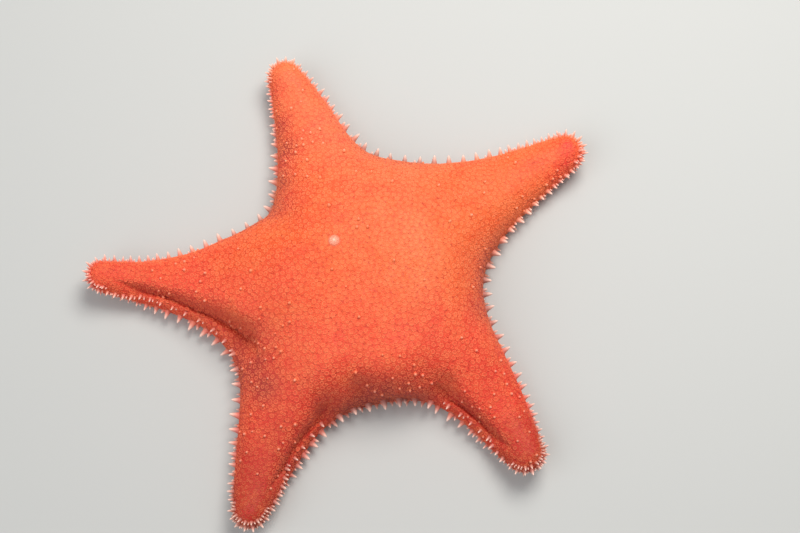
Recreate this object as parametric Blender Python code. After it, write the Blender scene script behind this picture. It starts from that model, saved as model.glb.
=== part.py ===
"""Five-armed cushion star, life size, lying on its mouth side with its arm tips a little raised.

The body is one inflated form: a domed disc whose five arms taper to blunt, upturned tips. A fringe of blunt
spines stands round its edge in two rows. The mouth is in the middle of the flat underside, and an open furrow
runs from it along each arm. The body is modelled whole, then parted into the disc and five arms by thin cuts.
Metres, +Z up, the floor at z = 0, and the origin under the middle of the whole outline. The arms are lettered
as zoologists do: arm_a is opposite the sieve plate, and the others follow counter-clockwise seen from above.
"""

import math

import bmesh
import bpy
import numpy as np
from mathutils import Matrix, Vector
from mathutils.bvhtree import BVHTree

# Plan of the body. An arm: bearing of its tip from the mouth and turn of its end from that bearing, both in
# degrees counter-clockwise from +X, reach from the mouth, radius of the tip, and taper of each side.
MOUTH = (0.00934, 0.00013)
ARMS = {
    "arm_a": {"bearing": 312.0, "turn": -12.7, "reach": 0.1089, "tip": 0.0082, "taper": 14.6},
    "arm_b": {"bearing": 393.3, "turn": -5.8, "reach": 0.1170, "tip": 0.0086, "taper": 10.8},
    "arm_c": {"bearing": 470.1, "turn": 6.3, "reach": 0.1101, "tip": 0.0080, "taper": 16.6},
    "arm_d": {"bearing": 538.1, "turn": -5.3, "reach": 0.1174, "tip": 0.0070, "taper": 5.0},
    "arm_e": {"bearing": 606.5, "turn": 11.1, "reach": 0.1140, "tip": 0.0074, "taper": 14.7},
}
# The bay after each arm: bearing and radius of its deepest point, turn of the edge there from square to that
# radius, roundness of the edge as a share of its length, and width in plan over which the disc's wall rises.
BAYS = {
    "arm_a": {"bearing": 355.3, "radius": 0.0538, "turn": 7.5, "pull": 0.24, "wall": 0.0220},
    "arm_b": {"bearing": 437.6, "radius": 0.0596, "turn": 2.2, "pull": 0.34, "wall": 0.0260},
    "arm_c": {"bearing": 506.2, "radius": 0.0526, "turn": -27.2, "pull": 0.15, "wall": 0.0240},
    "arm_d": {"bearing": 570.1, "radius": 0.0633, "turn": 0.2, "pull": 0.25, "wall": 0.0240},
    "arm_e": {"bearing": 641.6, "radius": 0.0526, "turn": -1.8, "pull": 0.40, "wall": 0.0150},
}
TIP_PULL = 0.551
CREST_BEND = 0.45
ARM_FROM = 0.45

# Heights over the floor. The back falls from the dome to the arm ends, halfway at FALL_RADIUS from the mouth.
DOME_HEIGHT = 0.0360
END_HEIGHT = 0.0085
FALL_RADIUS = 0.0620
FALL_POWER = 3.4
EDGE_HEIGHT = 0.0034
TIP_LIFT = 0.0060
LIFT_FROM = 0.62

# Cross-section of the wall: width in plan over which an arm's side rises and fullness of the curve, where it
# is plain and where it is folded. A rib of the body too short for that width takes less, by SPAN_BLEND.
ARM_WALL = 0.0240
FULLNESS = 2.4
FOLD_WALL = 0.0170
FOLD_FULLNESS = 3.2
SPAN_BLEND = 4.0

# Where the soft wall folds back, a low flange is left along the edge. Such a stretch of one side of an arm
# (+1 is its counter-clockwise side) starts and ends over shares of the side, from bay to tip, and the fold
# lies at an inset from the edge, first by the bay and then out on the arm. The flange rounds over from the
# edge within FLANGE_ROUND, and falls away between two multiples of the fold's inset.
FOLDS = {
    ("arm_d", 1): {"starts": (-0.20, 0.20), "ends": (0.66, 0.96), "insets": (0.0105, 0.0050)},
    ("arm_e", -1): {"starts": (-0.60, -0.50), "ends": (-0.30, 0.30), "insets": (0.0105, 0.0060)},
    ("arm_e", 1): {"starts": (0.24, 0.48), "ends": (0.64, 0.94), "insets": (0.0050, 0.0042)},
    ("arm_a", -1): {"starts": (0.28, 0.54), "ends": (0.68, 0.98), "insets": (0.0056, 0.0048)},
}
FLANGE_HEIGHT = 0.0076
FLANGE_ROUND = 0.0042
FLANGE_FALL = (0.5, 2.0)
FOLD_BLEND = 5.0

# Soft swellings and hollows of the back: bearing and distance from the mouth, spread, and height.
SWELLS = (
    (253.0, 0.0465, 0.0110, 0.0034),
    (293.0, 0.0460, 0.0120, 0.0030),
    (271.2, 0.0500, 0.0045, -0.0028),
    (257.0, 0.0590, 0.0055, -0.0026),
    (307.2, 0.0600, 0.0050, -0.0034),
    (218.0, 0.0500, 0.0140, -0.0030),
    (146.0, 0.0410, 0.0110, -0.0020),
)
SWELL_FROM = (0.15, 0.60)
SWELL_LEAN = math.radians(60.0)

# Underside. The rim rises from the floor flat to the edge, at insets from the edge. A furrow's wall runs
# from its lip to its roof, in shares of its half-width and depth, and takes up to FURROW_MOST of a rib.
RIM = ((0.0010, 0.0011), (0.0030, 0.0))
FURROW_HALF = 0.0034
FURROW_DEPTH = 0.0050
FURROW_WALL = ((1.0, 0.0), (0.5, 0.9))
FURROW_MOST = 0.85
BAY_SLANT = 0.59
MOUTH_RADIUS = 0.0090
MOUTH_DEPTH = 0.0080
MOUTH_SIDES = 20
JAW_SIZE = 0.0034
JAW_DISTANCE = 0.0056
JAW_FOOT = 0.0006
JAW_TURN = math.radians(90.0)
JAW_ROOF = 0.0056

# Spines of the edge: spacing, length and root radius, first by the bays and then round the tips. A row:
# heights of its roots over the arm's underside and sizes of its spines, first where the wall is plain and then
# where it is folded, and the rise of its spines in degrees.
SPINE_SPACING = (0.0066, 0.0032)
SPINE_LENGTH = (0.0041, 0.0028)
SPINE_RADIUS = (0.00125, 0.00080)
SPINE_POINT = 0.00028
SPINE_ROOT = 0.0008
SPINE_LEAST = 0.6
SPINE_CLEAR = 0.0014
SPINE_ROWS = (
    {"heights": (0.0064, 0.0092), "sizes": (1.0, 0.6), "rise": 24.0, "start": 0.0, "sides": 4},
    {"heights": (0.0024, 0.0044), "sizes": (0.6, 1.0), "rise": 6.0, "start": 0.5, "sides": 3},
)

# Sieve plate, let into the back between arms c and d.
PLATE_BEARING = 134.0
PLATE_DISTANCE = 0.0145
PLATE_RADIUS = 0.0026
PLATE_PROUD = 0.0008
PLATE_DEPTH = 0.0020
PLATE_SIDES = 18
PLATE_BEVEL = 0.0007

# Parting of the arms from the disc.
CUT_CLEAR = 0.0080
GAP = 0.0003

# Mesh density, the points taken to measure along an edge or up the lower half of a wall, and the small step
# in share over which a curve's direction is taken.
SIDE_STEPS = 9
TIP_STEPS = 5
WALL_STEPS = 9
EDGE_POINTS = 400
WALL_POINTS = 26
NUDGE = 0.002

# Base colour and roughness.
SKIN = ((0.86, 0.13, 0.045, 1.0), 0.55)
PLATE = ((0.85, 0.52, 0.36, 1.0), 0.60)
JAW = ((0.82, 0.34, 0.20, 1.0), 0.55)
SMOOTH_ANGLE = math.radians(40.0)


def heading(degrees):
    """Unit vector or vectors in plan at a bearing."""
    angle = np.radians(degrees)
    return np.stack([np.cos(angle), np.sin(angle)], axis=-1)


def smooth(low, high, value):
    """0 below low, 1 above high, and an even S between them."""
    share = np.clip((value - low) / (high - low), 0.0, 1.0)
    return share * share * (3.0 - 2.0 * share)


def blend(first, last, share):
    return first + (last - first) * share


def bezier(share, p0, p1, p2, p3):
    s = share[:, None]
    return (1 - s) ** 3 * p0 + 3 * (1 - s) ** 2 * s * p1 + 3 * (1 - s) * s**2 * p2 + s**3 * p3


def bay_beside(arm, side):
    """The bay on the counter-clockwise (+1) or clockwise (-1) side of an arm."""
    names = list(ARMS)
    return BAYS[arm if side > 0 else names[names.index(arm) - 1]]


def tip_centre(arm):
    """Centre of the round tip, from the mouth, and the bearing in which the arm ends."""
    a = ARMS[arm]
    end = a["bearing"] + a["turn"]
    return heading(a["bearing"]) * a["reach"] - heading(end) * a["tip"], end


def side_points(arm, side, share):
    """Points of the edge on one side of the arm, from the bay (share 0) to the round of the tip (share 1)."""
    bay = bay_beside(arm, side)
    a = ARMS[arm]
    centre, end = tip_centre(arm)
    shoulder = centre + heading(end + side * (90.0 - a["taper"])) * a["tip"]
    start = heading(bay["bearing"]) * bay["radius"]
    length = np.linalg.norm(shoulder - start)
    leave = -side * heading(bay["bearing"] + bay["turn"] + 90.0)
    arrive = heading(end - side * a["taper"])
    return bezier(
        share, start, start + leave * length * bay["pull"], shoulder - arrive * length * TIP_PULL, shoulder
    )


def crest_points(arm, share):
    """Points in plan on the crest line of the arm, from the mouth (0) to the centre of the tip (1)."""
    centre, end = tip_centre(arm)
    bend = centre - heading(end) * np.linalg.norm(centre) * CREST_BEND
    s = share[:, None]
    return 2 * (1 - s) * s * bend + s**2 * centre


class Ribs:
    """Lines in plan from a foot on the crest line to a point of the edge, with what shapes the wall there."""

    def __init__(self, arm, side, share, foot, edge, away, slant):
        self.arm = arm
        self.share = share
        self.foot = foot
        self.edge = edge
        self.away = away
        self.slant = slant
        self.span = np.linalg.norm(edge - foot, axis=1)
        self.out = (edge - foot) / self.span[:, None]
        bay = bay_beside(arm, side)["wall"] if side else ARM_WALL
        self.folded = np.zeros(len(share))
        self.fold_inset = np.zeros(len(share))
        fold = FOLDS.get((arm, side))
        if fold:
            self.folded = smooth(*fold["starts"], share) * (1.0 - smooth(*fold["ends"], share))
            self.fold_inset = blend(*fold["insets"], smooth(0.0, ARM_FROM, share))
        wall = blend(blend(bay, ARM_WALL, smooth(0.0, ARM_FROM, share)), FOLD_WALL, self.folded)
        self.wall = self.span * wall / (self.span**SPAN_BLEND + wall**SPAN_BLEND) ** (1.0 / SPAN_BLEND)


def side_ribs(arm, side, share):
    """Ribs at given shares of one side, from the bay to the round of the tip."""
    centre, _ = tip_centre(arm)
    middle = (side_points(arm, -1, share) + side_points(arm, 1, share)) / 2.0
    reached = np.clip(middle @ centre / (centre @ centre), 0.0, 1.0) * smooth(0.0, ARM_FROM, share)
    foot = crest_points(arm, reached)
    forward = crest_points(arm, reached + NUDGE) - crest_points(arm, reached - NUDGE)
    edge = side_points(arm, side, share)
    rib = edge - foot
    crossed = np.abs(rib[:, 0] * forward[:, 1] - rib[:, 1] * forward[:, 0])
    slant = crossed / (np.linalg.norm(rib, axis=1) * np.linalg.norm(forward, axis=1))
    run = side_points(arm, side, share + NUDGE) - side_points(arm, side, share - NUDGE)
    away = side * np.column_stack([-run[:, 1], run[:, 0]]) / np.linalg.norm(run, axis=1)[:, None]
    return Ribs(arm, side, share, foot, edge, away, np.where(share > 0.0, slant, BAY_SLANT))


def tip_ribs(arm, turn):
    """Ribs round the tip, at given turns in degrees from the way the arm points."""
    centre, end = tip_centre(arm)
    share = np.ones(len(turn))
    away = heading(end + turn)
    return Ribs(arm, 0, share, centre * share[:, None], centre + away * ARMS[arm]["tip"], away, share)


def lift(arm, plan):
    """How far the arm's end curls up from the floor."""
    a = ARMS[arm]
    along = plan @ heading(a["bearing"]) / a["reach"]
    return TIP_LIFT * np.maximum((along - LIFT_FROM) / (1.0 - LIFT_FROM), 0.0) ** 2


def swelling(plan):
    total = np.zeros(len(plan))
    for bearing, distance, spread, height in SWELLS:
        away = np.linalg.norm(plan - heading(bearing) * distance, axis=1) / spread
        total += height * np.exp(-(away**2))
    return total


def bulge(share, fullness):
    """How high the wall stands, of its whole height, at a share of the way in from its foot."""
    return (1.0 - (1.0 - share) ** fullness) ** (1.0 / fullness)


def back_point(ribs, part):
    """Points of the back, one on each rib: part runs from 0 on the crest line to 1 at the edge."""
    curved = 1.0 - math.sin(part * math.pi / 2) ** (2.0 / FULLNESS)
    inset = ribs.wall * curved + (ribs.span - ribs.wall) * (1.0 - part) ** 2
    plan = ribs.edge - ribs.out * inset[:, None]
    slope = 1.0 + (np.linalg.norm(plan, axis=1) / FALL_RADIUS) ** FALL_POWER
    back = END_HEIGHT + (DOME_HEIGHT - END_HEIGHT) / slope
    plain = np.clip(inset / ribs.wall, 0.0, 1.0)
    behind = np.clip((inset - ribs.fold_inset) / (ribs.wall - ribs.fold_inset), 0.0, 1.0)
    risen = blend(bulge(plain, FULLNESS), bulge(behind, FOLD_FULLNESS), ribs.folded)
    brim = np.sqrt(1.0 - (1.0 - np.clip(inset / FLANGE_ROUND, 0.0, 1.0)) ** 2)
    fall = smooth(*FLANGE_FALL, inset / np.maximum(ribs.fold_inset, FLANGE_ROUND))
    flange = FLANGE_HEIGHT * brim * (1.0 - fall) * ribs.folded
    wall = (back - EDGE_HEIGHT) * risen
    height = EDGE_HEIGHT + (wall**FOLD_BLEND + flange**FOLD_BLEND) ** (1.0 / FOLD_BLEND)
    push = swelling(plan) * smooth(*SWELL_FROM, risen)
    lean = SWELL_LEAN * (1.0 - blend(plain, behind, ribs.folded))
    plan = plan + ribs.out * (push * np.sin(lean))[:, None]
    return np.column_stack([plan, height + push * np.cos(lean) + lift(ribs.arm, plan)])


def under_points(ribs):
    """Rows of points under the ribs, from just inside the edge to the foot, down in the furrow."""
    lip = np.minimum(FURROW_HALF / (ribs.span * ribs.slant), FURROW_MOST)
    stages = [(1.0 - inset / ribs.span, height) for inset, height in RIM]
    stages += [(lip * width, FURROW_DEPTH * depth) for width, depth in FURROW_WALL]
    stages.append((lip * 0.0, FURROW_DEPTH))
    rows = []
    for share, height in stages:
        plan = ribs.foot + (ribs.edge - ribs.foot) * share[:, None]
        rows.append(np.column_stack([plan, height + lift(ribs.arm, plan)]))
    return rows


def petal_rows(arm):
    """Rows over and under one petal, an arm with its fifth of the disc, each running from bay to bay."""
    along = np.linspace(0.0, 1.0, SIDE_STEPS + 1)
    half = 90.0 - ARMS[arm]["taper"]
    turn = np.linspace(-half, half, TIP_STEPS + 1)[1:-1]
    stretches = (side_ribs(arm, -1, along), tip_ribs(arm, turn), side_ribs(arm, 1, along[::-1]))
    parts = np.linspace(0.0, 1.0, WALL_STEPS + 1)
    back = [np.concatenate([back_point(ribs, part) for ribs in stretches]) for part in parts]
    under = [np.concatenate(row) for row in zip(*(under_points(ribs) for ribs in stretches))]
    return back + under


def whole_body():
    """The whole animal without spines, as a bmesh in the part's own frame."""
    bm = bmesh.new()
    for arm in ARMS:
        rows = petal_rows(arm)
        grid = bmesh.ops.create_grid(bm, x_segments=len(rows[0]) - 1, y_segments=len(rows) - 1, size=0.5)
        for vert, point in zip(grid["verts"], np.concatenate(rows)):
            vert.co = Vector(point)
    bmesh.ops.remove_doubles(bm, verts=bm.verts, dist=1e-5)
    bmesh.ops.dissolve_degenerate(bm, edges=bm.edges, dist=1e-6)
    bmesh.ops.recalc_face_normals(bm, faces=bm.faces)
    bmesh.ops.translate(bm, verts=bm.verts, vec=(*MOUTH, 0.0))
    return bm


def material(name, finish):
    colour, roughness = finish
    made = bpy.data.materials.new(name)
    made.use_nodes = True
    shader = made.node_tree.nodes["Principled BSDF"]
    shader.inputs["Base Color"].default_value = colour
    shader.inputs["Roughness"].default_value = roughness
    shader.inputs["Metallic"].default_value = 0.0
    return made


def add_object(name, bm, anchor, parent, finish=None):
    """Turns bm, made in the part's frame, into an object whose origin is at anchor."""
    bmesh.ops.translate(bm, verts=bm.verts, vec=-anchor)
    mesh = bpy.data.meshes.new(name)
    bm.to_mesh(mesh)
    bm.free()
    mesh.shade_smooth()
    mesh.set_sharp_from_angle(angle=SMOOTH_ANGLE)
    obj = bpy.data.objects.new(name, mesh)
    obj.location = anchor
    obj.parent = parent
    bpy.context.scene.collection.objects.link(obj)
    if finish:
        mesh.materials.append(material(name, finish))
    else:
        obj.hide_render = True
        obj.display_type = "WIRE"
    return obj


def combine(obj, other, operation):
    boolean = obj.modifiers.new(other.name, "BOOLEAN")
    boolean.operation = operation
    boolean.solver = "EXACT"
    boolean.object = other


def mouth_point():
    """The middle of the mouth on the floor, from which all the plan's bearings and distances are taken."""
    return Vector((*MOUTH, 0.0))


def cut_distance(arm):
    """How far from the mouth, along the arm's bearing, its root is cut: just past both bays beside it."""
    bays = (bay_beside(arm, side) for side in (-1, 1))
    reach = (bay["radius"] * math.cos(math.radians(bay["bearing"] - ARMS[arm]["bearing"])) for bay in bays)
    return max(reach) + CUT_CLEAR


def part_off(body, arm, keep_arm):
    """Cuts body across the arm's root, square to its bearing, keeps one side and closes the cut."""
    normal = Vector((*heading(ARMS[arm]["bearing"]), 0.0))
    half_gap = GAP / 2 if keep_arm else -GAP / 2
    cut = bmesh.ops.bisect_plane(
        body,
        geom=body.verts[:] + body.edges[:] + body.faces[:],
        plane_co=mouth_point() + normal * (cut_distance(arm) + half_gap),
        plane_no=normal,
        clear_inner=keep_arm,
        clear_outer=not keep_arm,
        dist=1e-6,
    )
    rim = [item for item in cut["geom_cut"] if isinstance(item, bmesh.types.BMEdge)]
    bmesh.ops.holes_fill(body, edges=rim, sides=0)


def side_stations(arm, side, start):
    """Shares of one side at which spines stand: even steps by the bay that shorten towards the tip."""
    fine = np.linspace(0.0, 1.0, EDGE_POINTS)
    edge = side_points(arm, side, fine)
    run = np.concatenate([[0.0], np.cumsum(np.linalg.norm(np.diff(edge, axis=0), axis=1))])
    step = blend(*SPINE_SPACING, smooth(ARM_FROM, 1.0, fine))
    count = np.concatenate([[0.0], np.cumsum(np.diff(run) / step[1:])])
    stations = np.arange(start, count[-1] - SPINE_LEAST, 1.0)
    return np.interp(stations, count, fine)


def wall_points(ribs, height):
    """The point of the wall at a given height over the arm's underside, on each rib."""
    inset, rim_height = RIM[0]
    rim = np.column_stack([ribs.edge - ribs.out * inset, rim_height + lift(ribs.arm, ribs.edge)])
    wall = np.array([rim, *(back_point(ribs, part) for part in np.linspace(1.0, 0.5, WALL_POINTS))])
    rise = np.maximum.accumulate(wall[:, :, 2] - lift(ribs.arm, ribs.edge), axis=0)
    found = [[np.interp(height[i], rise[:, i], wall[:, i, k]) for k in range(3)] for i in range(len(height))]
    return np.array(found)


def fringe(arm, row):
    """Root, way out in plan, nearness to the tip and size of each spine in one row of a petal."""
    half = 90.0 - ARMS[arm]["taper"]
    around = math.radians(2.0 * half) * ARMS[arm]["tip"]
    turn = np.linspace(-half, half, round(around / SPINE_SPACING[1]) + 1)
    first = row["start"] or 1.0
    sets = (
        side_ribs(arm, -1, side_stations(arm, -1, first)),
        tip_ribs(arm, turn),
        side_ribs(arm, 1, side_stations(arm, 1, row["start"])),
    )
    for ribs in sets:
        roots = wall_points(ribs, blend(*row["heights"], ribs.folded))
        near_tip = smooth(ARM_FROM, 1.0, ribs.share)
        yield from zip(roots, ribs.away, near_tip, blend(*row["sizes"], ribs.folded))


def add_spine(bm, root, way, near_tip, size, row):
    length = size * blend(*SPINE_LENGTH, near_tip)
    radius = size * blend(*SPINE_RADIUS, near_tip)
    rise = math.radians(row["rise"])
    axis = Vector((*(way * math.cos(rise)), math.sin(rise)))
    middle = Vector(root) + mouth_point() + axis * (length - SPINE_ROOT) / 2
    bmesh.ops.create_cone(
        bm,
        cap_ends=True,
        segments=row["sides"],
        radius1=radius,
        radius2=SPINE_POINT,
        depth=length + SPINE_ROOT,
        matrix=Matrix.Translation(middle) @ axis.to_track_quat("Z", "X").to_matrix().to_4x4(),
    )


def all_spines():
    """One bmesh of spines for the disc and one for each arm, with none across a cut."""
    spines = {name: bmesh.new() for name in ("disc", *ARMS)}
    for arm in ARMS:
        bearing = heading(ARMS[arm]["bearing"])
        for row in SPINE_ROWS:
            for root, way, near_tip, size in fringe(arm, row):
                beyond = root[:2] @ bearing - cut_distance(arm)
                if abs(beyond) < SPINE_CLEAR:
                    root[:2] += bearing * (math.copysign(SPINE_CLEAR, beyond) - beyond)
                add_spine(spines[arm if beyond > 0 else "disc"], root, way, near_tip, size, row)
    return spines


def add_plate(disc, body, parent):
    """The sieve plate, a low bevelled button square to the back, in a pocket of the disc."""
    above = mouth_point() + Vector((*(heading(PLATE_BEARING) * PLATE_DISTANCE), 2 * DOME_HEIGHT))
    place, normal, _, _ = BVHTree.FromBMesh(body).ray_cast(above, Vector((0, 0, -1)))
    turned = normal.to_track_quat("Z", "Y").to_matrix().to_4x4()
    floor = PLATE_PROUD - PLATE_DEPTH

    def button(radius, low, high):
        bm = bmesh.new()
        middle = Matrix.Translation(place + normal * (low + high) / 2) @ turned
        round_off = {"segments": PLATE_SIDES, "radius1": radius, "radius2": radius, "depth": high - low}
        bmesh.ops.create_cone(bm, cap_ends=True, matrix=middle, **round_off)
        return bm

    bm = button(PLATE_RADIUS, floor, PLATE_PROUD)
    top = [v for v in bm.verts if (v.co - place).dot(normal) > 0.0]
    rim = [edge for edge in bm.edges if all(v in top for v in edge.verts)]
    bmesh.ops.bevel(bm, geom=rim, offset=PLATE_BEVEL, segments=2, profile=0.5, affect="EDGES", material=-1)
    add_object("madreporite", bm, place, parent, PLATE)
    pocket = add_object("plate_pocket", button(PLATE_RADIUS + GAP, floor - GAP, PLATE_RADIUS), place, parent)
    combine(disc, pocket, "DIFFERENCE")


def upright(radius, low, high, sides, centre=Vector((0, 0, 0)), turn=0.0):
    """A bmesh prism that stands over a point beside the mouth."""
    bm = bmesh.new()
    middle = mouth_point() + centre + Vector((0, 0, (low + high) / 2))
    place = Matrix.Translation(middle) @ Matrix.Rotation(turn, 4, "Z")
    bmesh.ops.create_cone(
        bm, cap_ends=True, segments=sides, radius1=radius, radius2=radius, depth=high - low, matrix=place
    )
    return bm


def add_jaws(disc, parent):
    """The mouth: a round hollow where the furrows meet, roofed and ringed by five jaws that point inwards."""
    hollow = upright(MOUTH_RADIUS, -MOUTH_DEPTH, MOUTH_DEPTH, MOUTH_SIDES)
    combine(disc, add_object("mouth_hollow", hollow, mouth_point(), parent), "DIFFERENCE")
    roof = upright(MOUTH_RADIUS - GAP, JAW_ROOF, MOUTH_DEPTH - GAP, MOUTH_SIDES)
    jaws = add_object("jaws", roof, mouth_point(), parent, JAW)
    for arm, bay in BAYS.items():
        turn = math.radians(bay["bearing"])
        centre = Vector((*heading(bay["bearing"]), 0.0)) * JAW_DISTANCE
        wedge = upright(JAW_SIZE, JAW_FOOT, JAW_ROOF + GAP, 3, centre, turn + JAW_TURN)
        combine(jaws, add_object("jaw_after_" + arm, wedge, mouth_point(), parent), "UNION")


def main():
    for obj in list(bpy.data.objects):
        bpy.data.objects.remove(obj)
    star = bpy.data.objects.new("star", None)
    bpy.context.scene.collection.objects.link(star)
    body = whole_body()
    spines = all_spines()
    disc_body = body.copy()
    for arm in ARMS:
        arm_body = body.copy()
        part_off(arm_body, arm, keep_arm=True)
        part_off(disc_body, arm, keep_arm=False)
        root = mouth_point() + Vector((*heading(ARMS[arm]["bearing"]), 0.0)) * cut_distance(arm)
        obj = add_object(arm, arm_body, root, star, SKIN)
        combine(obj, add_object(arm + "_fringe", spines[arm], root, star), "UNION")
    disc = add_object("disc", disc_body, mouth_point(), star, SKIN)
    combine(disc, add_object("disc_fringe", spines["disc"], mouth_point(), star), "UNION")
    add_plate(disc, body, star)
    add_jaws(disc, star)
    body.free()


main()
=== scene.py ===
import math

import bmesh
import bpy
import numpy as np
from mathutils import Matrix, Vector, noise
from mathutils.bvhtree import BVHTree
from numpy.linalg import norm


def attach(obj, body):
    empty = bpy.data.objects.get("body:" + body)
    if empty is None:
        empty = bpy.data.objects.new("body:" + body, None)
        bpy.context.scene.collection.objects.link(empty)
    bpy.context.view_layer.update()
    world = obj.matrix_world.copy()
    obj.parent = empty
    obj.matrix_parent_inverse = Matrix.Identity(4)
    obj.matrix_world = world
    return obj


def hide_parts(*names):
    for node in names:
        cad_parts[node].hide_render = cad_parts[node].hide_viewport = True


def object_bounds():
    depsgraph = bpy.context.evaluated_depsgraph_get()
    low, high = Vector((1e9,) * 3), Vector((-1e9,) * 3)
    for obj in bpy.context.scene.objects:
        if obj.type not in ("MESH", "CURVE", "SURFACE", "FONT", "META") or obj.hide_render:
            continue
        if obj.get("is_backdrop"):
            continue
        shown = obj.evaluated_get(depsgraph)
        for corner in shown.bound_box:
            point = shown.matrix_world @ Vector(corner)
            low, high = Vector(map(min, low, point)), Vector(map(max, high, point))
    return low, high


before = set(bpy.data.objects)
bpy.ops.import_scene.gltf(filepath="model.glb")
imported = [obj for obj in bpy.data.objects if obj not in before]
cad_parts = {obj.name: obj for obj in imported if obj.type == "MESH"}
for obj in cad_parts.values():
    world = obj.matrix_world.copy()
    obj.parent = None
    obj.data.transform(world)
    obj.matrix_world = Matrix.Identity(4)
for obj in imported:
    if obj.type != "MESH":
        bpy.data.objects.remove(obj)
cad_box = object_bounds()


# ---------------- skin
# The body wall of the star: one soft, inflated skin over a net of small limy plates, from the dome of the
# back over the edge to the flat mouth side, where five furrows run in to the mouth. Each arm's plan is a
# round-tipped curve, and the wall rises on ribs from that edge to the arm's crest line.
MOUTH = np.array([0.00934, 0.00013])
# An arm: bearing of its tip from the mouth and turn of its end from that in degrees, reach from the mouth,
# radius of the tip, and taper of each side in degrees.
ARMS = {
    "arm_a": {"bearing": 312.0, "turn": -12.7, "reach": 0.1089, "tip": 0.0082, "taper": 14.6},
    "arm_b": {"bearing": 393.3, "turn": -5.8, "reach": 0.117, "tip": 0.0086, "taper": 10.8},
    "arm_c": {"bearing": 470.1, "turn": 6.3, "reach": 0.1101, "tip": 0.008, "taper": 16.6},
    "arm_d": {"bearing": 538.1, "turn": -5.3, "reach": 0.1174, "tip": 0.007, "taper": 5.0},
    "arm_e": {"bearing": 606.5, "turn": 11.1, "reach": 0.114, "tip": 0.0074, "taper": 14.7},
}
# The bay after each arm: bearing and radius of its deepest point, turn and roundness of the edge there, and
# width in plan over which the wall rises.
BAYS = {
    "arm_a": {"bearing": 355.3, "radius": 0.0538, "turn": 7.5, "pull": 0.24, "wall": 0.022},
    "arm_b": {"bearing": 437.6, "radius": 0.0596, "turn": 2.2, "pull": 0.34, "wall": 0.026},
    "arm_c": {"bearing": 506.2, "radius": 0.0526, "turn": -27.2, "pull": 0.15, "wall": 0.024},
    "arm_d": {"bearing": 570.1, "radius": 0.0633, "turn": 0.2, "pull": 0.25, "wall": 0.024},
    "arm_e": {"bearing": 641.6, "radius": 0.0526, "turn": -1.8, "pull": 0.4, "wall": 0.015},
}
TIP_PULL = 0.551
CREST_BEND = 0.45
ARM_FROM = 0.45
DOME_HEIGHT = 0.036
END_HEIGHT = 0.0085
FALL_RADIUS = 0.062
FALL_POWER = 3.4
EDGE_HEIGHT = 0.0034
TIP_LIFT = 0.006
LIFT_FROM = 0.62
ARM_WALL = 0.024
FULLNESS = 2.4
FOLD_WALL = 0.017
FOLD_FULLNESS = 3.2
# Stretches of an arm's side (+1 is counter-clockwise) where the wall folds back from a low flange: shares of
# the side, from bay to tip, over which each starts and ends, and the fold's insets from the edge.
FOLDS = {
    ("arm_d", 1): {"starts": (-0.2, 0.2), "ends": (0.66, 0.96), "insets": (0.0105, 0.005)},
    ("arm_e", -1): {"starts": (-0.6, -0.5), "ends": (-0.3, 0.3), "insets": (0.0105, 0.006)},
    ("arm_e", 1): {"starts": (0.24, 0.48), "ends": (0.64, 0.94), "insets": (0.005, 0.0042)},
    ("arm_a", -1): {"starts": (0.28, 0.54), "ends": (0.68, 0.98), "insets": (0.0056, 0.0048)},
}
FLANGE_HEIGHT = 0.0076
FLANGE_ROUND = 0.0042
FLANGE_FALL = (0.5, 2.0)
FOLD_BLEND = 5.0
# Swellings and hollows of the back: bearing and distance from the mouth, spread and height.
SWELLS = (
    (253, 0.0465, 0.011, 0.0034), (293, 0.046, 0.012, 0.003), (271.2, 0.05, 0.0045, -0.0028),
    (257, 0.059, 0.0055, -0.0026), (307.2, 0.06, 0.005, -0.0034), (218, 0.05, 0.014, -0.003),
    (146, 0.041, 0.011, -0.002),
)
SWELL_FROM = (0.15, 0.6)
SWELL_LEAN = math.radians(60.0)
# Marks the skin carries: painted shade, how far round under the edge a point lies, and blush.
SKIN_MARKS = ("dusk", "below", "blush")
# Where shade is painted into the skin's colour: bearing and distance from the mouth, spread and strength of
# each place, besides the lower part of the walls by the bays, and the creases of the folds.
PAINTED_SHADE_PLACES = (
    (215, 0.051, 0.0085, 0.25), (222, 0.059, 0.0085, 0.65), (230.5, 0.062, 0.008, 0.75),
    (247.5, 0.086, 0.021, 0.28), (276, 0.0525, 0.005, 0.9), (283, 0.0535, 0.005, 0.8),
    (291, 0.056, 0.0055, 0.55), (345, 0.0545, 0.006, 0.5), (354.9, 0.0545, 0.006, 0.45),
    (117, 0.08, 0.0055, 0.5), (118.8, 0.068, 0.006, 0.6), (129.5, 0.0565, 0.006, 0.6),
    (141, 0.0495, 0.006, 0.6),
)
LOW_WALL = (0.25, 0.85)
BY_BAY = (0.1, 0.65)
CREASE_PAINTED_SHADE = 0.35
CREASE_WIDTH = 0.0014
FOLD_CLEARS = 0.8
# Where it is redder, or yellower if the strength is below zero.
BLUSHES = (
    (113.6, 0.0977, 0.0045, 0.6), (117.6, 0.0811, 0.0055, 0.6), (122.5, 0.0637, 0.0065, 0.55),
    (132.7, 0.0444, 0.0075, 0.45), (108.6, 0.105, 0.0055, -0.8), (108.4, 0.0898, 0.0075, -0.3),
    (33.8, 0.11, 0.0034, 0.95), (30.8, 0.106, 0.0034, 0.9), (29, 0.099, 0.0045, 0.5),
    (34.5, 0.1168, 0.0035, -0.6), (27, 0.078, 0.02, -0.28), (60, 0.056, 0.018, -0.22),
    (84, 0.06, 0.016, -0.18), (170, 0.083, 0.014, -0.2), (11.4, 0.0304, 0.02, -0.35),
    (175.8, 0.0286, 0.015, 0.25), (178, 0.07, 0.02, 0.2),
)
RIM_INSET = 0.003
FURROW_HALF = 0.0034
FURROW_DEPTH = 0.005
FURROW_MOST = 0.85
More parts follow.
